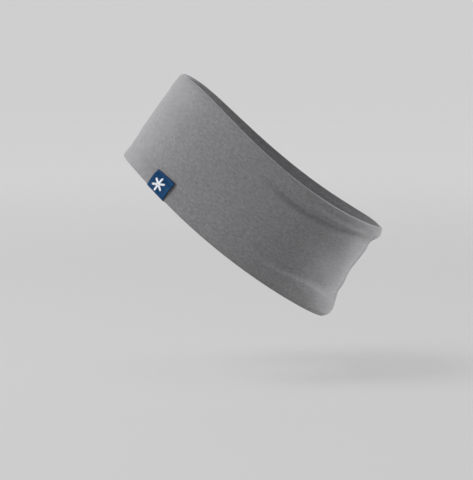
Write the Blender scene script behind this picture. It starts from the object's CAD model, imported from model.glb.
import math
import bpy
import numpy as np
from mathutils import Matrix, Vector


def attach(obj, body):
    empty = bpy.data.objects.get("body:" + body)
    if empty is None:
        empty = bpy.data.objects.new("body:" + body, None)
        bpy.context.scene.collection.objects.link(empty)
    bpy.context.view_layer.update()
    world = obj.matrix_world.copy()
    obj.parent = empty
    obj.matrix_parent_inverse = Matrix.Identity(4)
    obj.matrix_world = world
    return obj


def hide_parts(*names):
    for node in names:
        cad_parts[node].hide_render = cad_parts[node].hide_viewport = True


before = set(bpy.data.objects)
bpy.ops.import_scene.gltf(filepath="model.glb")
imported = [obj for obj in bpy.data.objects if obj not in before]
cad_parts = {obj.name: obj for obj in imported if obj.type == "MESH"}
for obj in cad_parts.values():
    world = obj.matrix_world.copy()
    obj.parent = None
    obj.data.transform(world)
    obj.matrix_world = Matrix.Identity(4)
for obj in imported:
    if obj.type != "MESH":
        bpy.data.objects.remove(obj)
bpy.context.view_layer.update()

MM = 0.001
scene = bpy.context.scene

# ---------------------------------------------------------------------------
# The ring, in the same coordinates as the CAD model: phi in degrees, d and w
# in millimetres
# ---------------------------------------------------------------------------
TILT = math.radians(38.0)
CT, ST = math.cos(TILT), math.sin(TILT)
E_U = np.array([0.0, CT, -ST])
E_X = np.array([1.0, 0.0, 0.0])
E_W = np.array([0.0, ST, CT])
RU, RX, EGG = 94.5, 73.5, 0.10
TOP = (38.759, 1.539, 4.208, -1.262, -0.123, -0.157)
BOT = (-40.347, 1.683, 2.404, -0.152, -0.187, -0.138)
PLY, GAP = 0.60, 0.06            # cloth and the air between plies
ALLOW = 11.0
L0, L1 = 0.0, PLY
LF0, LF1 = PLY + GAP, 2 * PLY + GAP
F0, F1 = 2 * (PLY + GAP), 3 * PLY + 2 * GAP
O0, O1 = 3 * (PLY + GAP), 4 * PLY + 3 * GAP


def series(c, phi):
    a = np.radians(phi)
    return sum(c[k] * np.cos(k * a) for k in range(len(c)))


def w_top(phi):
    f = (phi + 180.0) % 360.0 - 180.0
    b = 180.0 - np.abs(f)
    return series(TOP, phi) - 2.4 * np.exp(-(f / 26.0) ** 2) - 1.5 * np.exp(-(b / 20.0) ** 2)


def w_bot(phi):
    return series(BOT, phi)


def smooth(t):
    t = np.clip(t, 0.0, 1.0)
    return t * t * (3.0 - 2.0 * t)


def bell(x, s):
    return np.exp(-(x / s) ** 2)


def wrap(phi):
    """phi folded to -180..180"""
    return (phi + 180.0) % 360.0 - 180.0


def from_back(phi):
    return 180.0 - np.abs(wrap(phi))


def plan(phi):
    a = np.radians(phi)
    c, s = np.cos(a), np.sin(a)
    u = -RU * c
    x = RX * s * (1.0 - EGG * c)
    du = RU * s
    dx = RX * (c * (1.0 - EGG * c) + EGG * s * s)
    n = np.hypot(du, dx)
    return u, x, -dx / n, du / n, n


def waves(seed, count, k_lo, k_hi, l_lo, l_hi):
    """Sum of plane waves: whole turns round the ring, any period across it."""
    rng = np.random.RandomState(seed)
    k = rng.randint(k_lo, k_hi + 1, count) * rng.choice([-1, 1], count)
    l = rng.uniform(l_lo, l_hi, count)
    t = rng.uniform(0, 2 * np.pi, count)
    a = rng.uniform(0.5, 1.0, count)
    a /= np.sqrt((a ** 2).sum() / 2.0)

    def f(phi, w):
        p = np.radians(phi)
        out = 0.0
        for i in range(count):
            out = out + a[i] * np.cos(k[i] * p + l[i] * w + t[i])
        return out
    return f


SOFT = waves(11, 14, 1, 7, -0.09, 0.09)        # broad unevenness
TENSE = waves(12, 18, 4, 16, -0.30, 0.30)      # shallow pull lines
PUCK_T = waves(13, 10, 38, 64, -0.02, 0.02)    # puckers along the upper seam
PUCK_B = waves(14, 10, 36, 66, -0.02, 0.02)    # and along the lower one


def curve(phi, knots):
    k = np.array(knots, float)
    return np.interp(phi, k[:, 0], k[:, 1])


def relief(phi, w):
    """How far both plies stand off the plain ring, in millimetres."""
    phi = wrap(phi)
    a = np.abs(phi)
    left = smooth((phi + 8.0) / 16.0)          # 1 on the wearer's left
    side = 1.0 * left + 0.8 * (1.0 - left)
    b = from_back(phi)
    st, sb = w_top(phi) - w, w - w_bot(phi)
    # behind the head the lower part springs outwards, the upper edge a little
    r = (2.4 * smooth((2.0 - w) / 16.0) + 6.6 * smooth((-16.0 - w) / 17.0)) * bell(b, 34.0)
    r = r + 2.9 * smooth((w - 24.5) / 10.5) * bell(b, 24.0)
    # the forehead pushes the upper half forward, the brow lets the lower half in
    r = r + (0.3 + 1.3 * smooth((w + 24.0) / 40.0)) * bell(a, 40.0)
    r = r - 0.325 * np.logaddexp(0.0, (-11.0 - w) / 3.0) * bell(a, 45.0)
    r = r + 1.3 * smooth((6.5 - sb) / 6.5) * bell(a, 30.0)      # and its edge springs back a little
    # inside the edges the four plies sit half in, half out
    r = r - 0.80 * (1.0 - smooth((st - ALLOW - 0.4) / 6.5)) - 0.80 * (1.0 - smooth((sb - ALLOW - 0.4) / 6.5))
    # over the ears the ring is a little wider below than above
    r = r - 0.065 * w * bell(a - 105.0, 34.0)
    # both turned edges roll inwards
    r = r - (0.35 + 0.9 * bell(a, 32.0)) * smooth((3.8 - st) / 3.8) ** 1.4
    r = r - 1.9 * bell(b, 26.0) * smooth((6.8 - st) / 6.8) ** 1.4
    r = r - (0.35 + 0.5 * bell(a, 32.0) + 2.0 * bell(b, 30.0)) * smooth((5.0 - sb) / 5.0) ** 1.4
    # hollow under the upper corner of the back
    r = r - 1.3 * bell(w - 27.0, 6.5) * bell(b, 22.0)
    # the strip above the upper rear crease stands away from it
    wc = curve(a, [(88, 20.5), (92, 20.2), (98, 19.2), (107, 18.3), (113, 18.9),
                   (119, 20.2), (126, 21.4), (133, 22.9), (141, 25.2),
                   (150, 27.4), (160, 28.6)]) - 1.2 * (1.0 - left)
    env = smooth((a - 84.0) / 20.0) * smooth((160.0 - a) / 34.0)
    deep = 1.0 + 0.22 * bell(a - 113.0, 12.0)
    t = w - wc
    r = r + side * env * (-2.15 * deep * bell(t - 0.1, 2.5) + 0.25 * bell(t + 8.0, 5.0)
                          + 1.35 * deep * smooth((t + 0.2) / 4.6) * (1.0 - 0.8 * smooth(t / 14.0)))
    # a second, shallower one just under the upper edge
    env = smooth((a - 104.0) / 18.0) * smooth((164.0 - a) / 14.0)
    r = r - 0.70 * side * env * bell(st - 5.4, 2.1)
    # soft valley that runs on forwards
    wv = curve(a, [(40, 23.0), (55, 22.3), (64, 22.4), (72, 20.8), (88, 20.3), (100, 19.2)])
    r = r - 0.75 * bell(w - wv, 4.0) * smooth((a - 44.0) / 24.0) * smooth((108.0 - a) / 20.0)
    # fold line inside the lower edge at the rear: the cloth steps out below it
    wl = curve(a, [(100, -29.3), (107, -28.9), (113, -28.4), (119, -27.5), (126, -26.1),
                   (133, -24.4), (140, -23.0), (154, -23.4), (170, -24.5)]) + 1.0 * (1.0 - left)
    env = smooth((a - 98.0) / 14.0) * smooth((170.0 - a) / 22.0)
    t = wl - w
    r = r + side * env * (0.95 * smooth((t + 1.2) / 2.4) * np.exp(-np.clip(t, 0.0, None) / 6.0)
                          - 0.40 * bell(t + 3.4, 2.4))
    # shallow line inside the lower edge at the front
    wf = curve(a, [(0, -26.8), (6, -26.4), (20, -24.6), (30, -24.2), (40, -25.8), (60, -28.6), (75, -30.8)])
    env = (0.55 + 0.45 * left) * smooth((78.0 - a) / 30.0)
    r = r + env * (-0.55 * bell(w - wf, 1.5) + 0.22 * bell(w - wf + 4.0, 3.0))
    # unevenness everywhere, pull lines mostly at the rear, puckers at seams
    off = smooth(np.minimum(st, sb) / 9.0)
    r = r + 0.20 * SOFT(phi, w)
    r = r + (0.04 + 0.10 * smooth((a - 80.0) / 60.0)) * TENSE(phi, w) * (0.25 + 0.75 * off)
    r = r + 0.035 * PUCK_T(phi, w) * np.exp(-np.clip(st, 0, None) / 4.5)
    r = r + 0.040 * PUCK_B(phi, w) * np.exp(-np.clip(sb, 0, None) / 4.5)
    # the back seam draws the cloth in between its stitches
    near = np.exp(-np.abs(b) / 2.2)
    r = r - near * (0.16 + 0.07 * np.cos(2 * np.pi * w / 3.1))
    # the lining lies plain behind the care label, and the seam runs straight
    # where the label hangs from it
    q = (phi + 360.0) % 360.0
    wide = smooth((q - 172.0) / 6.0) * smooth((208.0 - q) / 7.0) * smooth((w + 22.0) / 5.0) * smooth((24.0 - w) / 5.0)
    tight = bell(b, 3.0) * smooth((w + 19.5) / 4.5) * smooth((21.0 - w) / 4.5)
    return np.where(r < 0.0, r * (1.0 - wide), r * (1.0 - tight))


def place(phi, d, w):
    """Points in metres for arrays of phi, d and w."""
    phi, d, w = np.broadcast_arrays(phi, d, w)
    u, x, nu, nx, _ = plan(phi)
    r = d + relief(phi, w)
    u = u + nu * r
    x = x + nx * r
    return (u[..., None] * E_U + x[..., None] * E_X + w[..., None] * E_W) * MM


def outward(phi):
    _, _, nu, nx, _ = plan(phi)
    return np.asarray(nu)[..., None] * E_U + np.asarray(nx)[..., None] * E_X


def along(phi):
    _, _, nu, nx, _ = plan(phi)
    return np.asarray(nx)[..., None] * E_U - np.asarray(nu)[..., None] * E_X


# arc length round the ring, to place things at an even pitch
_P = np.linspace(-180.0, 180.0, 3601)
_S = np.concatenate([[0.0], np.cumsum(0.5 * (plan(_P[1:])[4] + plan(_P[:-1])[4]))]) * math.radians(0.1)
RING = float(_S[-1])


def phi_at(s):
    return np.interp(s, _S, _P)


def s_at(phi):
    return np.interp(phi, _P, _S)


# ---------------------------------------------------------------------------
# Mesh helpers
# ---------------------------------------------------------------------------
def new_mesh(name, verts, faces, uvs=None, shade=True):
    me = bpy.data.meshes.new(name)
    me.from_pydata([tuple(map(float, v)) for v in verts], [], [tuple(map(int, f)) for f in faces])
    if uvs is not None:
        layer = me.uv_layers.new(name="cloth")
        flat = np.concatenate([np.asarray(u, float).reshape(-1, 2) for u in uvs]).astype(np.float32)
        layer.data.foreach_set("uv", flat.ravel())
    me.validate(verbose=False)
    me.update()
    if shade:
        me.polygons.foreach_set("use_smooth", [True] * len(me.polygons))
    ob = bpy.data.objects.new(name, me)
    scene.collection.objects.link(ob)
    return ob


def grid_loop(name, P, U, V, closed_caps=True):
    """Mesh of a closed profile swept along stations.  P is (n, m, 3), U the
    distance along the sweep for each (n, m), V the distance along the
    profile for each (n, m + 1)."""
    n, m, _ = P.shape
    verts = P.reshape(-1, 3)
    i, j = np.meshgrid(np.arange(n - 1), np.arange(m), indexing="ij")
    i, j = i.ravel(), j.ravel()
    j2 = (j + 1) % m
    quads = np.stack([i * m + j, i * m + j2, (i + 1) * m + j2, (i + 1) * m + j], 1)
    uv = np.stack([
        np.stack([U[i, j], V[i, j]], 1), np.stack([U[i, j2], V[i, j + 1]], 1),
        np.stack([U[i + 1, j2], V[i + 1, j + 1]], 1), np.stack([U[i + 1, j], V[i + 1, j]], 1)], 1)
    faces = [tuple(q) for q in quads]
    uvs = [uv.reshape(-1, 2)]
    return verts, faces, uvs


def cap_strips(m, offset, pairs, flip):
    """Closes a thin profile's end with quads between paired corners."""
    faces = []
    for a, b in zip(pairs[:-1], pairs[1:]):
        q = [offset + a[0], offset + b[0], offset + b[1], offset + a[1]]
        q = [x for k, x in enumerate(q) if x not in q[:k]]
        if len(q) > 2:
            faces.append(tuple(q[::-1] if flip else q))
    return faces


def arc(dc, wc, r, a0, a1, n):
    a = np.radians(np.linspace(a0, a1, n))
    return [(dc + r * math.cos(t), wc + r * math.sin(t)) for t in a]


def ply_centre(phi, which, n_face=78, n_allow=7, n_fold=6):
    """Arrays (d, w) of a ply's centre line at angles phi (n,), each (n, m)."""
    top, bot = w_top(phi)[:, None], w_bot(phi)[:, None]
    h = PLY / 2.0
    if which == "outer":
        df, da = O0 + h, F0 + h
    else:
        df, da = L0 + h, LF0 + h
    r = abs(df - da) / 2.0
    mid = (df + da) / 2.0
    reach = r + h                      # the fold's outermost point is the edge
    one = np.ones_like(top)
    D, W = [], []
    for t in np.linspace(0, 1, n_allow, endpoint=False):       # lower allowance
        D.append(da * one)
        W.append(bot + ALLOW + (reach - ALLOW) * t)
    sgn = 1.0 if df > da else -1.0
    for t in np.linspace(0, np.pi, n_fold):                    # lower fold
        D.append((mid - sgn * r * math.cos(t)) * one)
        W.append(bot + reach - r * math.sin(t))
    lo, hi = bot + reach, top - reach
    for t in np.linspace(0, 1, n_face + 1, endpoint=False)[1:]:
        D.append(df * one)
        W.append(lo + (hi - lo) * t)
    for t in np.linspace(0, np.pi, n_fold):                    # upper fold
        D.append((mid + sgn * r * math.cos(t)) * one)
        W.append(top - reach + r * math.sin(t))
    for t in np.linspace(0, 1, n_allow + 1)[1:]:
        D.append(da * one)
        W.append(top - reach - (ALLOW - reach) * t)
    D, W = np.concatenate(D, 1), np.concatenate(W, 1)
    face = np.zeros(D.shape[1], bool)
    face[n_allow + n_fold:n_allow + n_fold + n_face] = True
    return D, W, face


def hem(phi, w, soft=6.5):
    """1 over the seam allowances, 0 between them."""
    st, sb = w_top(phi) - w, w - w_bot(phi)
    over = 0.4
    up = 1.0 - smooth((st - ALLOW - over) / soft)
    low = 1.0 - smooth((sb - ALLOW - over) / soft)
    b = from_back(phi)
    back = 1.0 - smooth((b - 6.0) / 4.5)
    return 1.0 - (1.0 - up) * (1.0 - low) * (1.0 - back)


def panel(name, which, material):
    seam = 0.0
    ends = np.array([0.0, 0.12, 0.28, 0.5, 0.85, 1.4, 2.2, 3.2, 4.4])
    inner = np.arange(5.6, RING - 5.0, 1.14)
    s = np.concatenate([seam + ends, inner, RING - seam - ends[::-1]])
    phi = phi_at(s)
    D, W, face = ply_centre(phi, which)
    n, m = D.shape
    ph = np.repeat(phi[:, None], m, 1)
    if which == "outer":
        low = L1 + GAP + PLY / 2.0
        lift = O0 + PLY / 2.0 - low
        H = hem(ph, W)
        D = np.where(face[None, :], low + lift * H, D)
    # the ends at the centre back roll inwards
    dist = np.minimum(s, RING - s)[:, None]
    roll = np.clip(1.0 - dist / 0.75, 0.0, 1.0)
    turn = PLY * 0.62 * (1.0 - np.sqrt(np.clip(1.0 - roll ** 2, 0.0, 1.0)))
    # thickness direction from the centre line, within the section plane
    dD = np.gradient(D, axis=1)
    dW = np.gradient(W, axis=1)
    ln = np.hypot(dD, dW)
    nd, nw = dW / ln, -dD / ln
    half = PLY / 2.0 * np.ones_like(D)
    half[:, 0] = half[:, -1] = PLY / 2.0 * 0.8
    sgn = -1.0 if which == "outer" else 1.0
    A = place(ph, D + nd * half + sgn * turn * 0.6, W + nw * half)
    B = place(ph, D - nd * half + sgn * turn * 0.6, W - nw * half)
    P = np.concatenate([A, B[:, ::-1]], 1)
    step = np.concatenate([np.zeros((n, 1)), np.cumsum(np.hypot(np.diff(D, axis=1), np.diff(W, axis=1)), 1)], 1)
    V = np.concatenate([step, step[:, ::-1] + 0.4, step[:, :1]], 1)
    U = np.repeat(s[:, None], 2 * m, 1)
    verts, faces, uvs = grid_loop(name, P, U, V)
    pairs = [(k, 2 * m - 1 - k) for k in range(m)]
    caps = cap_strips(2 * m, 0, pairs, False) + cap_strips(2 * m, (n - 1) * 2 * m, pairs, True)
    Uf, Vf = U.ravel(), V[:, :-1].ravel()
    for c in caps:
        faces.append(c)
        uvs.append(np.array([[Uf[k], Vf[k]] for k in c]))
    ob = new_mesh(name, verts, faces, uvs)
    ob.data.materials.append(material)
    return ob


def orient(ob):
    """Makes the faces of a closed mesh point outwards."""
    import bmesh
    bm = bmesh.new()
    bm.from_mesh(ob.data)
    bmesh.ops.recalc_face_normals(bm, faces=bm.faces)
    if bm.calc_volume(signed=True) < 0:
        bmesh.ops.reverse_faces(bm, faces=bm.faces)
    bm.to_mesh(ob.data)
    bm.free()
    ob.data.update()


def tube(paths, r, sides=6, pitch=1.0):
    """Verts, faces and uvs of round threads along open paths (metres)."""
    verts, faces, uvs = [], [], []
    ang = np.linspace(0, 2 * np.pi, sides, endpoint=False)
    for path in paths:
        p = np.asarray(path, float)
        t = np.gradient(p, axis=0)
        t /= np.linalg.norm(t, axis=1)[:, None] + 1e-12
        ref = np.array([0.31, 0.52, 0.79])
        n = np.cross(t, ref)
        n /= np.linalg.norm(n, axis=1)[:, None]
        b = np.cross(t, n)
        k = len(p)
        rr = np.full(k, r)
        rr[0] = rr[-1] = r * 0.55
        ring = p[:, None] + rr[:, None, None] * (np.cos(ang)[None, :, None] * n[:, None] + np.sin(ang)[None, :, None] * b[:, None])
        base = len(verts)
        verts.extend(ring.reshape(-1, 3))
        run = np.concatenate([[0], np.cumsum(np.linalg.norm(np.diff(p, axis=0), axis=1))]) * 1000
        for i in range(k - 1):
            for j in range(sides):
                j2 = (j + 1) % sides
                faces.append((base + i * sides + j, base + i * sides + j2, base + (i + 1) * sides + j2, base + (i + 1) * sides + j))
                uvs.append(np.array([[j / sides, run[i]], [(j + 1) / sides, run[i]], [(j + 1) / sides, run[i + 1]], [j / sides, run[i + 1]]]))
        faces.append(tuple(base + j for j in range(sides))[::-1])
        uvs.append(np.zeros((sides, 2)))
        faces.append(tuple(base + (k - 1) * sides + j for j in range(sides)))
        uvs.append(np.zeros((sides, 2)))
    return verts, faces, uvs


def thread_piece(name, paths, r, material, sides=6):
    v, f, u = tube(paths, r, sides)
    ob = new_mesh(name, v, f, u)
    ob.data.materials.append(material)
    return ob


# ---------------------------------------------------------------------------
# Materials
# ---------------------------------------------------------------------------
class Mat:
    """Small helper for building a node material."""

    def __init__(self, name):
        self.mat = bpy.data.materials.new(name)
        self.mat.use_nodes = True
        self.nt = self.mat.node_tree
        self.nt.nodes.clear()
        self.out = self.nt.nodes.new("ShaderNodeOutputMaterial")
        self.bsdf = self.nt.nodes.new("ShaderNodeBsdfPrincipled")
        self.nt.links.new(self.bsdf.outputs[0], self.out.inputs[0])

    def set(self, **kw):
        for k, v in kw.items():
            self.bsdf.inputs[k.replace("_", " ")].default_value = v

    def link(self, a, b):
        self.nt.links.new(a, b)

    def node(self, kind, **props):
        n = self.nt.nodes.new(kind)
        for k, v in props.items():
            setattr(n, k, v)
        return n

    def _in(self, sock, v):
        if hasattr(v, "is_output") or hasattr(v, "links"):
            self.link(v, sock)
        else:
            sock.default_value = v

    def m(self, op, a, b=None, c=None, clamp=False):
        n = self.node("ShaderNodeMath", operation=op)
        n.use_clamp = clamp
        self._in(n.inputs[0], a)
        if b is not None:
            self._in(n.inputs[1], b)
        if c is not None:
            self._in(n.inputs[2], c)
        return n.outputs[0]

    def uv(self):
        n = self.node("ShaderNodeUVMap", uv_map="cloth")
        s = self.node("ShaderNodeSeparateXYZ")
        self.link(n.outputs[0], s.inputs[0])
        return s.outputs[0], s.outputs[1]

    def xyz(self, x, y, z=0.0):
        n = self.node("ShaderNodeCombineXYZ")
        for i, v in enumerate((x, y, z)):
            self._in(n.inputs[i], v)
        return n.outputs[0]

    def place(self):
        return self.node("ShaderNodeTexCoord").outputs["Object"]

    def noise(self, vec, scale, detail=3.0, rough=0.55, distort=0.0):
        n = self.node("ShaderNodeTexNoise")
        n.inputs["Scale"].default_value = scale
        n.inputs["Detail"].default_value = detail
        n.inputs["Roughness"].default_value = rough
        n.inputs["Distortion"].default_value = distort
        self.link(vec, n.inputs["Vector"])
        return n.outputs["Fac"]

    def ramp(self, fac, stops):
        n = self.node("ShaderNodeValToRGB")
        el = n.color_ramp.elements
        while len(el) < len(stops):
            el.new(0.5)
        for e, (p, c) in zip(el, stops):
            e.position = p
            e.color = (*c, 1.0)
        self.link(fac, n.inputs[0])
        return n.outputs[0]

    def span(self, v, a, b, c, d):
        n = self.node("ShaderNodeMapRange")
        self._in(n.inputs[0], v)
        for k, x in zip((1, 2, 3, 4), (a, b, c, d)):
            n.inputs[k].default_value = x
        return n.outputs[0]

    def mix(self, fac, a, b, kind="MIX"):
        n = self.node("ShaderNodeMix", data_type="RGBA", blend_type=kind)
        self._in(n.inputs[0], fac)
        for k, v in ((6, a), (7, b)):
            if isinstance(v, tuple):
                n.inputs[k].default_value = (*v, 1.0)
            else:
                self.link(v, n.inputs[k])
        return n.outputs[2]

    def grey(self, v):
        n = self.node("ShaderNodeCombineColor")
        for i in range(3):
            self.link(v, n.inputs[i])
        return n.outputs[0]

    def attribute(self, name):
        return self.node("ShaderNodeAttribute", attribute_name=name).outputs["Fac"]

    def bump(self, height, distance, strength=1.0, normal=None):
        n = self.node("ShaderNodeBump")
        n.inputs["Strength"].default_value = strength
        n.inputs["Distance"].default_value = distance
        self.link(height, n.inputs["Height"])
        if normal is not None:
            self.link(normal, n.inputs["Normal"])
        return n.outputs[0]

    def finish(self, colour, normal=None, rough=None):
        self.link(colour, self.bsdf.inputs["Base Color"])
        if normal is not None:
            self.link(normal, self.bsdf.inputs["Normal"])
        if rough is not None:
            self.link(rough, self.bsdf.inputs["Roughness"])
        return self.mat


def jersey(name, tone, purl=False):
    """Fine single jersey in melange yarn.  tone is its mean colour.  The
    face shows columns of small Vs, the reverse rows of small arcs."""
    g = Mat(name)
    g.set(Roughness=0.93, Specular_IOR_Level=0.25, Sheen_Weight=0.55, Sheen_Roughness=0.42)
    g.bsdf.inputs["Sheen Tint"].default_value = (0.98, 0.98, 1.0, 1.0)
    u, v = g.uv()
    # the rows and columns wander a little
    flat = g.xyz(u, v)
    wob = g.span(g.noise(flat, 0.22, 2.0), 0.0, 1.0, -0.30, 0.30)
    wob2 = g.span(g.noise(g.xyz(v, u, 7.0), 0.25, 2.0), 0.0, 1.0, -0.30, 0.30)
    uu, vv = g.m("ADD", u, wob), g.m("ADD", v, wob2)
    wale, course = 0.74, 0.60
    a = g.m("MULTIPLY", g.m("ABSOLUTE", g.m("SUBTRACT", g.m("FRACT", g.m("DIVIDE", uu, wale)), 0.5)), 2.0)
    leg = g.m("SINE", g.m("MULTIPLY", a, math.pi))
    if purl:
        run = g.m("ADD", g.m("DIVIDE", vv, course), g.m("MULTIPLY", g.m("SINE", g.m("MULTIPLY", uu, 2 * math.pi / wale)), 0.16))
        loop = g.span(g.m("COSINE", g.m("MULTIPLY", run, 2 * math.pi)), -1.0, 1.0, 0.0, 1.0)
        height = g.m("POWER", loop, 0.8)
    else:
        run = g.m("ADD", g.m("DIVIDE", vv, course), g.m("MULTIPLY", a, 0.95))
        loop = g.span(g.m("COSINE", g.m("MULTIPLY", run, 2 * math.pi)), -1.0, 1.0, 0.0, 1.0)
        height = g.m("MULTIPLY", g.m("POWER", leg, 0.7), g.span(loop, 0.0, 1.0, 0.40, 1.0))
    # melange: light and dark fibres lie along the yarn
    fibre = g.noise(g.xyz(g.m("MULTIPLY", uu, 0.75), g.m("MULTIPLY", vv, 2.6)), 1.0, 4.0, 0.7)
    fleck = g.noise(g.xyz(g.m("MULTIPLY", uu, 0.34), g.m("MULTIPLY", vv, 0.62), 3.0), 1.0, 3.0, 0.62)
    cloud = g.noise(g.xyz(g.m("MULTIPLY", uu, 0.13), g.m("MULTIPLY", vv, 0.20), 9.0), 1.0, 2.0, 0.5)
    slow = g.noise(g.place(), 55.0, 3.0, 0.5)
    t = tone
    dark = tuple(x * 0.70 for x in t)
    light = tuple(min(1.0, x * 1.34) for x in t)
    col = g.ramp(g.span(fibre, 0.28, 0.72, 0.0, 1.0), [(0.0, dark), (0.5, t), (1.0, light)])
    col = g.mix(1.0, col, g.grey(g.span(fleck, 0.25, 0.75, 0.75, 1.25)), "MULTIPLY")
    col = g.mix(1.0, col, g.grey(g.span(cloud, 0.25, 0.75, 0.95, 1.05)), "MULTIPLY")
    col = g.mix(1.0, col, g.grey(g.span(slow, 0.2, 0.8, 0.955, 1.045)), "MULTIPLY")
    col = g.mix(1.0, col, g.grey(g.span(height, 0.0, 1.0, 0.84, 1.06)), "MULTIPLY")
    # the turned edges are handled most, and have greyed a little
    edge = g.attribute("edge")
    rub = g.m("MULTIPLY", edge, g.span(g.noise(g.xyz(u, v, 11.0), 0.5, 3.0, 0.6), 0.3, 0.7, 0.35, 1.0))
    col = g.mix(g.m("MULTIPLY", rub, 0.55), col, tuple(x * 0.76 for x in t))
    hair = g.noise(g.xyz(g.m("MULTIPLY", u, 2.2), g.m("MULTIPLY", v, 2.2)), 1.0, 5.0, 0.75)
    n1 = g.bump(hair, 0.00018, 0.7)
    n2 = g.bump(height, 0.00013, 0.85, n1)
    rough = g.span(fibre, 0.2, 0.8, 0.86, 0.98)
    return g.finish(col, n2, rough)


def woven(name, tone, warp=0.17, weft=0.21, shine=0.30, stripe=0.0, gloss=0.4, rim=1.9):
    """Close woven ribbon: threads over and under, slightly uneven."""
    g = Mat(name)
    g.set(Roughness=0.62, Specular_IOR_Level=gloss, Sheen_Weight=shine, Sheen_Roughness=0.35)
    u, v = g.uv()
    wob = g.span(g.noise(g.xyz(u, v), 0.9, 2.0), 0.0, 1.0, -0.05, 0.05)
    uu, vv = g.m("ADD", u, wob), g.m("ADD", v, wob)
    cu, cv = g.m("DIVIDE", uu, warp), g.m("DIVIDE", vv, weft)
    over = g.m("MODULO", g.m("ADD", g.m("FLOOR", cu), g.m("FLOOR", cv)), 2.0)
    hu = g.m("SINE", g.m("MULTIPLY", g.m("FRACT", cu), math.pi))
    hv = g.m("SINE", g.m("MULTIPLY", g.m("FRACT", cv), math.pi))
    n = g.node("ShaderNodeMix", data_type="FLOAT")
    g.link(over, n.inputs[0])
    g.link(hu, n.inputs[2])
    g.link(hv, n.inputs[3])
    height = n.outputs[0]
    slub = g.noise(g.xyz(g.m("MULTIPLY", u, 0.5), g.m("MULTIPLY", v, 5.0)), 1.0, 3.0, 0.6)
    col = g.ramp(g.span(slub, 0.25, 0.75, 0.0, 1.0),
                 [(0.0, tuple(x * 0.74 for x in tone)), (0.5, tone), (1.0, tuple(min(1.0, x * 1.30) for x in tone))])
    col = g.mix(1.0, col, g.grey(g.span(height, 0.0, 1.0, 0.62, 1.12)), "MULTIPLY")
    if stripe:
        rows = g.span(g.m("SINE", g.m("MULTIPLY", v, 2 * math.pi / 1.15)), -1.0, 1.0, 1.0 - stripe, 1.0 + stripe)
        col = g.mix(1.0, col, g.grey(rows), "MULTIPLY")
    edge = g.attribute("edge")
    col = g.mix(g.m("MULTIPLY", edge, 0.35 if rim > 1.0 else 0.85), col, tuple(min(1.0, x * rim) for x in tone))
    return g.finish(col, g.bump(height, 0.00005, 0.9), g.span(height, 0.0, 1.0, 0.72, 0.52))


def thread(name, tone):
    """Two-ply sewing thread: the twist runs round it."""
    g = Mat(name)
    g.set(Roughness=0.6, Specular_IOR_Level=0.4, Sheen_Weight=0.3, Sheen_Roughness=0.4)
    u, v = g.uv()
    tw = g.m("SINE", g.m("MULTIPLY", g.m("ADD", g.m("MULTIPLY", u, 2.0), g.m("MULTIPLY", v, 1.6)), 2 * math.pi))
    h = g.span(tw, -1.0, 1.0, 0.0, 1.0)
    fibre = g.noise(g.place(), 5000.0, 3.0, 0.6)
    col = g.ramp(fibre, [(0.3, tuple(x * 0.75 for x in tone)), (0.7, tuple(min(1.0, x * 1.25) for x in tone))])
    col = g.mix(1.0, col, g.grey(g.span(h, 0.0, 1.0, 0.7, 1.1)), "MULTIPLY")
    return g.finish(col, g.bump(h, 0.00006, 0.9))


def thread_solid(name, tone):
    """The same thread on a carried piece, which has no run of its own."""
    g = Mat(name)
    g.set(Roughness=0.6, Specular_IOR_Level=0.4, Sheen_Weight=0.3, Sheen_Roughness=0.4)
    w = g.node("ShaderNodeTexWave", wave_type="BANDS", bands_direction="DIAGONAL")
    w.inputs["Scale"].default_value = 520.0
    w.inputs["Distortion"].default_value = 1.2
    g.link(g.place(), w.inputs["Vector"])
    fibre = g.noise(g.place(), 5000.0, 3.0, 0.6)
    col = g.ramp(fibre, [(0.3, tuple(x * 0.75 for x in tone)), (0.7, tuple(min(1.0, x * 1.25) for x in tone))])
    col = g.mix(1.0, col, g.grey(g.span(w.outputs["Fac"], 0.0, 1.0, 0.72, 1.1)), "MULTIPLY")
    return g.finish(col, g.bump(w.outputs["Fac"], 0.00006, 0.9))


def studio(name, tone, glow):
    """Matt paper, lit evenly further out by a glow that grows with the
    distance from the middle of the floor."""
    g = Mat(name)
    g.set(Roughness=0.9, Specular_IOR_Level=0.15)
    a = g.noise(g.place(), 2.2, 2.0, 0.5)
    b = g.noise(g.place(), 900.0, 2.0, 0.5)
    col = g.ramp(a, [(0.2, tuple(x * 0.992 for x in tone)), (0.8, tuple(min(1.0, x * 1.008) for x in tone))])
    s = g.node("ShaderNodeSeparateXYZ")
    g.link(g.place(), s.inputs[0])
    r = g.m("SQRT", g.m("ADD", g.m("POWER", s.outputs[0], 2.0), g.m("POWER", s.outputs[1], 2.0)))
    total = None
    for k, (lo, hi) in enumerate(((-2.0, -1.0), (0.5, 1.9), (1.6, 3.3))):
        n = g.node("ShaderNodeMapRange", interpolation_type="SMOOTHSTEP")
        g.link(r, n.inputs[0])
        n.inputs[1].default_value, n.inputs[2].default_value = lo, hi
        n.inputs[3].default_value, n.inputs[4].default_value = 0.0, glow[k]
        n.name = "glow%d" % k
        total = n.outputs[0] if total is None else g.m("ADD", total, n.outputs[0])
    g.bsdf.inputs["Emission Color"].default_value = (1.0, 1.0, 1.0, 1.0)
    g.link(total, g.bsdf.inputs["Emission Strength"])
    return g.finish(col, g.bump(b, 0.0001, 0.2))


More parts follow.
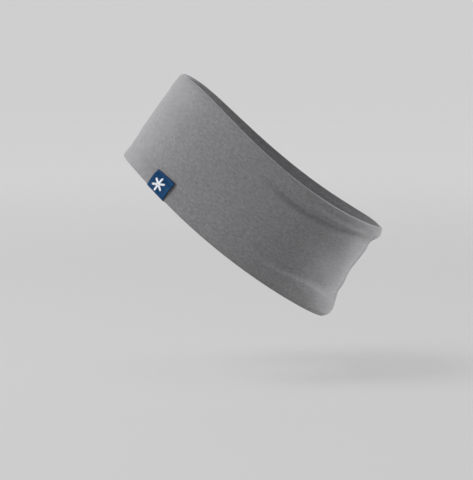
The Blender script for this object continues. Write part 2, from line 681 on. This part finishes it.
GREY = (0.196, 0.1935, 0.1995)
M_OUT = jersey("heather_jersey_face", GREY)
M_IN = jersey("heather_jersey_reverse", tuple(x * 0.93 for x in GREY), purl=True)
M_SEAM = thread("grey_thread", (0.20, 0.20, 0.215))
M_SEAM2 = thread_solid("grey_thread_carried", (0.24, 0.24, 0.25))
M_NAVY = woven("navy_damask", (0.0052, 0.042, 0.116), shine=0.0, stripe=0.10, gloss=0.06, rim=0.22)
M_WHITE = woven("white_damask", (0.80, 0.82, 0.86), warp=0.20, weft=0.30, shine=0.2)
M_NAVYTH = thread("navy_thread", (0.005, 0.022, 0.060))
M_SATIN = woven("white_satin", (0.78, 0.78, 0.76), warp=0.12, weft=0.34, shine=0.4)
M_FLOOR = studio("studio_paper", (0.30, 0.30, 0.301), (0.372, 0.105, 0.0))


# ---------------------------------------------------------------------------
# The two plies
# ---------------------------------------------------------------------------
def mark_edge(ob, phi, w, extra=None, reach=1.8):
    """Float attribute: 1 on the turned edges, 0 away from them."""
    st, sb = w_top(phi) - w, w - w_bot(phi)
    e = np.exp(-(np.clip(np.minimum(st, sb), 0.0, None) / reach) ** 2)
    if extra is not None:
        e = np.maximum(e, extra)
    a = ob.data.attributes.new("edge", "FLOAT", "POINT")
    a.data.foreach_set("value", np.asarray(e, np.float32).ravel())


def constant_edge(ob, value=0.0):
    a = ob.data.attributes.new("edge", "FLOAT", "POINT")
    a.data.foreach_set("value", np.full(len(ob.data.vertices), value, np.float32))


def ring_coords(ob):
    """phi and w of a piece's points, good enough for masks."""
    co = np.zeros(len(ob.data.vertices) * 3)
    ob.data.vertices.foreach_get("co", co)
    co = co.reshape(-1, 3) / MM
    u, x, w = co @ E_U, co @ E_X, co @ E_W
    phi = np.degrees(np.arctan2(x / RX, -u / RU))
    return phi, w


outer = panel("outer_panel_cloth", "outer", M_OUT)
lining = panel("lining_panel_cloth", "lining", M_IN)
for ob, node, slot in ((outer, "outer_panel", "jersey_outer"), (lining, "lining_panel", "jersey_lining")):
    orient(ob)
    phi, w = ring_coords(ob)
    mark_edge(ob, phi, w)
    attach(ob, "band")
    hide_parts(node)


# ---------------------------------------------------------------------------
# Threads inside the edges and the back seam
# ---------------------------------------------------------------------------
def needle(edge, sign):
    """Lockstitch through both allowances just inside the turned edge."""
    paths, s, pitch = [], 3.0, 2.8
    while s < RING - 3.0:
        ss = s + np.array([0.0, 0.05, 0.25, 1.2, 2.2, 2.42, 2.45])
        ph = phi_at(ss)
        d = np.array([LF0 + 0.2, F1 - 0.12, F1 + 0.02, F1 + 0.04, F1 + 0.02, F1 - 0.12, LF0 + 0.2])
        w = edge(ph) - sign * 1.5
        paths.append(place(ph, d, w))
        s += pitch
    return paths


def loops(edge, sign):
    """Overlock loops round the two raw edges."""
    paths, s = [], 4.0
    while s < RING - 4.0:
        e0, e1 = 5.4, ALLOW + 0.22
        d0, d1 = LF0 - 0.01, F1 + 0.01
        D = np.array([d1, d1, d1, d1 - 0.2, (d0 + d1) / 2, d0 + 0.2, d0, d0, d0, (d0 + d1) / 2, d1])
        W = np.array([e0, (e0 + e1) / 2, e1 - 0.3, e1 - 0.05, e1, e1 - 0.05, e1 - 0.3, (e0 + e1) / 2, e0, e0 - 0.15, e0])
        S = s + np.array([0, .2, .4, .5, .6, .7, .8, 1.1, 1.5, 1.6, 1.7])
        ph = phi_at(S)
        paths.append(place(ph, D, edge(ph) - sign * W))
        s += 2.8
    return paths


def seam_back(d):
    paths, w = [], float(w_bot(np.array(180.0))) + ALLOW + 2.0
    top = float(w_top(np.array(180.0))) - ALLOW - 2.0
    while w < top:
        x = np.array([-0.9, -0.5, 0.0, 0.5, 0.9])
        ph = 180.0 + np.degrees(x / plan(np.array(180.0))[4])
        paths.append(place(ph, np.full(5, d), w + np.array([0, .1, .2, .3, .4])))
        w += 2.6
    return paths


for name, paths in (("upper_edge_seam_thread", needle(w_top, 1)), ("lower_edge_seam_thread", needle(w_bot, -1)),
                    ("upper_edge_overlock_loops", loops(w_top, 1)), ("lower_edge_overlock_loops", loops(w_bot, -1)),
                    ("outer_back_seam_thread", seam_back((F0 + F1) / 2)), ("lining_back_seam_thread", seam_back((LF0 + LF1) / 2))):
    ob = thread_piece(name + "_sewn", paths, 0.09 * MM, M_SEAM)
    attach(ob, "band")
    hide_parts(name)


# ---------------------------------------------------------------------------
# Woven label over the lower edge
# ---------------------------------------------------------------------------
LP0, LP1, LTOP, LT = 44.4, 57.4, -24.3, 0.42


def label_path(phi, k):
    """Centre line of the label at angle phi: outside top, down, round the
    lower edge and up inside.  k runs 0 to 1 across the label."""
    b = float(w_bot(np.array(phi)))
    o = O1 + 0.14 + LT / 2
    i = L0 - 0.12 - LT / 2
    r = 0.75
    lift = 0.25 * (2 * abs(k - 0.5)) ** 5 + 1.25 * max(0.0, (k - 0.62) / 0.38) ** 2
    low = b - 0.14 - LT / 2
    D, W = [], []
    top = LTOP - 0.25 * (2 * (k - 0.5)) ** 4
    for t in np.linspace(0, 1, 26):
        w = top + (low + r - top) * t
        ease = 0.28 * (1 - t) ** 3 * -1.0
        D.append(o + lift * math.sin(math.pi * (0.12 + 0.88 * t)) ** 0.9 * min(1.0, 3.0 * (1 - t)) + ease + 0.10 * math.sin(math.pi * t))
        W.append(w)
    for a in np.linspace(0, -90, 6)[1:]:
        D.append(o - r + r * math.cos(math.radians(a)))
        W.append(low + r + r * math.sin(math.radians(a)))
    for a in np.linspace(-90, -180, 6):
        D.append(i + r + r * math.cos(math.radians(a)))
        W.append(low + r + r * math.sin(math.radians(a)))
    for t in np.linspace(0, 1, 20)[1:]:
        D.append(i)
        W.append(low + r + (LTOP + 0.6 - low - r) * t)
    return np.array(D), np.array(W)


def label():
    n = 41
    ks = np.linspace(0, 1, n)
    rows, U, V = [], [], []
    for k in ks:
        phi = LP0 + (LP1 - LP0) * k
        D, W = label_path(phi, k)
        dD, dW = np.gradient(D), np.gradient(W)
        ln = np.hypot(dD, dW)
        nd, nw = -dW / ln, dD / ln
        h = np.full_like(D, LT / 2)
        h[0] *= 0.75
        h[-1] *= 0.75
        if k in (0.0, 1.0):
            h *= 0.8
        A = place(np.full_like(D, phi), D + nd * h, W + nw * h)
        B = place(np.full_like(D, phi), D - nd * h, W - nw * h)
        rows.append(np.concatenate([A, B[::-1]], 0))
        st = np.concatenate([[0], np.cumsum(np.hypot(np.diff(D), np.diff(W)))])
        V.append(np.concatenate([st, st[::-1] + 0.3, st[:1]]))
        U.append(np.full(2 * len(D), k * 19.2))
    P, U, V = np.array(rows), np.array(U), np.array(V)
    m = P.shape[1] // 2
    verts, faces, uvs = grid_loop("label", P, U, V)
    pairs = [(q, 2 * m - 1 - q) for q in range(m)]
    Uf, Vf = U.ravel(), V[:, :-1].ravel()
    for c in cap_strips(2 * m, 0, pairs, False) + cap_strips(2 * m, (n - 1) * 2 * m, pairs, True):
        faces.append(c)
        uvs.append(np.array([[Uf[q], Vf[q]] for q in c]))
    ob = new_mesh("loop_label_woven", verts, faces, uvs)
    ob.data.materials.append(M_NAVY)
    orient(ob)
    e = np.zeros((n, 2 * m))
    e[0] = e[-1] = 1.0
    e[:, (0, m - 1, m, 2 * m - 1)] = 1.0
    a = ob.data.attributes.new("edge", "FLOAT", "POINT")
    a.data.foreach_set("value", e.astype(np.float32).ravel())
    return ob


def label_point(k, w):
    """A point on the label's outer face, and the face's outward normal."""
    def p(kk, ww):
        phi = LP0 + (LP1 - LP0) * kk
        D, W = label_path(phi, kk)
        d = np.interp(-ww, -W[:26], D[:26]) + LT / 2
        return place(np.array(phi), np.array(d), np.array(ww))
    q = p(k, w)
    a, b = p(k + 0.01, w) - p(k - 0.01, w), p(k, w + 0.1) - p(k, w - 0.1)
    nrm = np.cross(a, b)
    nrm /= np.linalg.norm(nrm)
    if nrm @ outward(LP0 + (LP1 - LP0) * k) < 0:
        nrm = -nrm
    return q, nrm


def emblem():
    """Six plain arms of white satin stitch: each arm is a row of short
    threads laid across it, standing a little proud of the navy ground."""
    kc, wc, arm, width = 0.45, -33.2, 5.5, 1.7
    paths = []
    for q in range(6):
        ang = math.radians(60.0 * q + 30.0)
        ca, sa = math.cos(ang), math.sin(ang)
        t = 0.15 if q < 2 else 0.75
        while t < arm:
            half = width / 2.0 * (1.0 if t < arm - 0.5 else 0.8)
            pts = []
            for e in (-1.0, -0.6, 0.0, 0.6, 1.0):
                x = ca * t - sa * half * e
                y = sa * t + ca * half * e
                k = kc + x / 19.2
                pnt, nrm = label_point(k, wc + y)
                pts.append(pnt + nrm * MM * (0.02 + 0.07 * (1 - e * e)))
            paths.append(np.array(pts))
            t += 0.20
    ob = thread_piece("label_star_stitched", paths, 0.13 * MM, M_WHITE, 5)
    constant_edge(ob)
    return ob


lab = label()
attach(lab, "band")
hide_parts("loop_label")

star = emblem()
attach(star, "band")
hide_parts("label_star")

paths = []
for i in range(8):
    k0 = (i + 0.22) / 8.0
    k1 = (i + 0.78) / 8.0
    pts = []
    for t, up in ((0.0, -0.06), (0.12, 0.05), (0.5, 0.08), (0.88, 0.05), (1.0, -0.06)):
        p, nrm = label_point(k0 + (k1 - k0) * t, LTOP - 1.1)
        pts.append(p + nrm * up * MM)
    paths.append(np.array(pts))
    phis = LP0 + (LP1 - LP0) * (k0 + (k1 - k0) * np.array([0, .12, .5, .88, 1.0]))
    dd = L0 - 0.12 - LT - np.array([-0.06, 0.05, 0.08, 0.05, -0.06])
    paths.append(place(phis, dd, np.full(5, LTOP - 1.1)))
ob = thread_piece("loop_label_stitches_sewn", paths, 0.12 * MM, M_NAVYTH)
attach(ob, "band")
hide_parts("loop_label_stitches")


# ---------------------------------------------------------------------------
# Care label in the lining's back seam, on its own body
# ---------------------------------------------------------------------------
def care():
    pin = -(0.35 + 0.20 + 0.05 + 0.25)
    w0, w1, t = -14.0, 16.0, 0.26
    n_w, n_s = 61, 60
    ws = np.linspace(w0, w1, n_w)
    speed = float(plan(np.array(183.0))[4])

    def sect(w):
        k = (w - w0) / (w1 - w0)
        D, X = [], []
        for a in np.linspace(-250, 0, 18):                # rolled round the thread
            D.append(pin + 0.375 * math.cos(math.radians(a)))
            X.append(0.375 * math.sin(math.radians(a)))
        end = 26.0 - 0.15 * math.sin(7 * k)
        for q in np.linspace(0, 1, n_s)[1:]:
            x = end * q
            D.append(-0.35 - t / 2 - 0.10 * smooth(np.array(x / 3.0)) - 0.55 * q * q * (0.6 + 0.4 * math.cos(2.6 * k))
                     - 0.10 * math.sin(3.1 * q * math.pi) * q)
            X.append(x)
        return np.array(D), np.array(X)
    rows, U, V = [], [], []
    for w in ws:
        D, X = sect(w)
        dD, dX = np.gradient(D), np.gradient(X)
        ln = np.hypot(dD, dX)
        nd, nx = -dX / ln, dD / ln
        h = np.full_like(D, t / 2)
        h[-1] *= 0.7

        def pts(DD, XX):
            phi = 180.0 + np.degrees(XX / speed)
            u, x, nu, nxx, _ = plan(phi)
            return ((u + nu * DD)[:, None] * E_U + (x + nxx * DD)[:, None] * E_X + w * E_W) * MM
        rows.append(np.concatenate([pts(D + nd * h, X + nx * h), pts(D - nd * h, X - nx * h)[::-1]], 0))
        st = np.concatenate([[0], np.cumsum(np.hypot(np.diff(D), np.diff(X)))])
        V.append(np.concatenate([st, st[::-1] + 0.3, st[:1]]))
        U.append(np.full(2 * len(D), w - w0))
    P, U, V = np.array(rows), np.array(U), np.array(V)
    m = P.shape[1] // 2
    verts, faces, uvs = grid_loop("care", P, U, V)
    pairs = [(q, 2 * m - 1 - q) for q in range(m)]
    Uf, Vf = U.ravel(), V[:, :-1].ravel()
    for c in cap_strips(2 * m, 0, pairs, False) + cap_strips(2 * m, (n_w - 1) * 2 * m, pairs, True):
        faces.append(c)
        uvs.append(np.array([[Uf[q], Vf[q]] for q in c]))
    ob = new_mesh("care_label_ribbon", verts, faces, uvs)
    ob.data.materials.append(M_SATIN)
    orient(ob)
    constant_edge(ob)
    return ob


flap = care()
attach(flap, "care_label_flap")
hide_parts("care_label")

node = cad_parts["care_label_thread"]
node.data.materials.clear()
node.data.materials.append(M_SEAM2)


# ---------------------------------------------------------------------------
# Studio: pale floor that curves up into a pale wall, soft lights, camera
# ---------------------------------------------------------------------------
def backdrop():
    """Flat round floor that curves up all round into a wall."""
    floor, flat, bend, top = -0.137, 2.7, 0.9, 3.6
    prof = [(0.35, floor), (0.9, floor), (1.8, floor), (flat, floor)]
    prof += [(flat + bend * math.sin(t), floor + bend - bend * math.cos(t)) for t in np.linspace(0, math.pi / 2, 15)[1:]]
    prof += [(flat + bend, top)]
    n = 96
    verts = [(0.0, 0.0, floor)]
    for r, z in prof:
        verts += [(r * math.cos(2 * math.pi * k / n), r * math.sin(2 * math.pi * k / n), z) for k in range(n)]
    faces = [(0, 1 + k, 1 + (k + 1) % n) for k in range(n)]
    for i in range(len(prof) - 1):
        for k in range(n):
            p, q = 1 + i * n + k, 1 + i * n + (k + 1) % n
            faces.append((p, p + n, q + n, q))
    ob = new_mesh("studio_floor", verts, faces)
    ob.data.materials.append(M_FLOOR)
    return ob


paper = backdrop()

# the lights near the floor are flagged off it, so that it stays even
off_paper = bpy.data.collections.new("not_on_paper")
off_paper.objects.link(paper)
off_paper.collection_objects[0].light_linking.link_state = "EXCLUDE"


def area(name, loc, target, size, power, flagged=True, tint=(1, 1, 1)):
    d = bpy.data.lights.new(name, "AREA")
    d.shape = "RECTANGLE"
    d.size, d.size_y = size
    d.energy = power
    d.color = tint
    ob = bpy.data.objects.new(name, d)
    ob.location = loc
    ob.rotation_mode = "QUATERNION"
    ob.rotation_quaternion = (Vector(target) - Vector(loc)).to_track_quat("-Z", "Y")
    ob.visible_camera = False
    scene.collection.objects.link(ob)
    if flagged:
        ob.light_linking.receiver_collection = off_paper
    return ob


area("left_high", (0.8, -1.6, 0.9), (0, 0, 0), (0.8, 0.8), 20.5)
area("left_behind", (-1.0, -1.5, 0.3), (0, 0, 0), (0.8, 0.8), 32.0)
area("right_behind", (-0.7, 1.5, 0.3), (0, 0, 0), (0.8, 0.6), 34.0)
area("right_high", (0.3, 1.6, 0.9), (0, 0, 0), (0.8, 0.8), 3.5)
area("right_low", (0.2, 1.7, 0.10), (0, 0, 0), (0.8, 0.4), 3.4)
area("top_soft", (0.0, 0.0, 1.8), (0, 0, 0), (1.4, 1.4), 5.2, False)
area("top_left", (0.2, -1.1, 1.5), (0, 0, 0), (1.0, 1.0), 15.0, False)

world = bpy.data.worlds.new("studio_air")
scene.world = world
world.use_nodes = True
world.node_tree.nodes["Background"].inputs[0].default_value = (1.0, 1.0, 1.005, 1.0)
world.node_tree.nodes["Background"].inputs[1].default_value = 0.02

PITCH = math.radians(6.4)
cam_data = bpy.data.cameras.new("camera")
cam_data.sensor_fit = "AUTO"
cam_data.sensor_width = 36.0
cam_data.lens = 36.0 * (2000.0 / 0.768) / 480.0
cam_data.clip_start, cam_data.clip_end = 0.05, 20.0
cam = bpy.data.objects.new("camera", cam_data)
cam.location = (1.99156, -0.01052, 0.18707)
back = Vector((math.cos(PITCH), 0.0, math.sin(PITCH)))
cam.rotation_mode = "QUATERNION"
cam.rotation_quaternion = (-back).to_track_quat("-Z", "Y")
scene.collection.objects.link(cam)
scene.camera = cam

scene.view_settings.view_transform = "Standard"
scene.view_settings.look = "None"
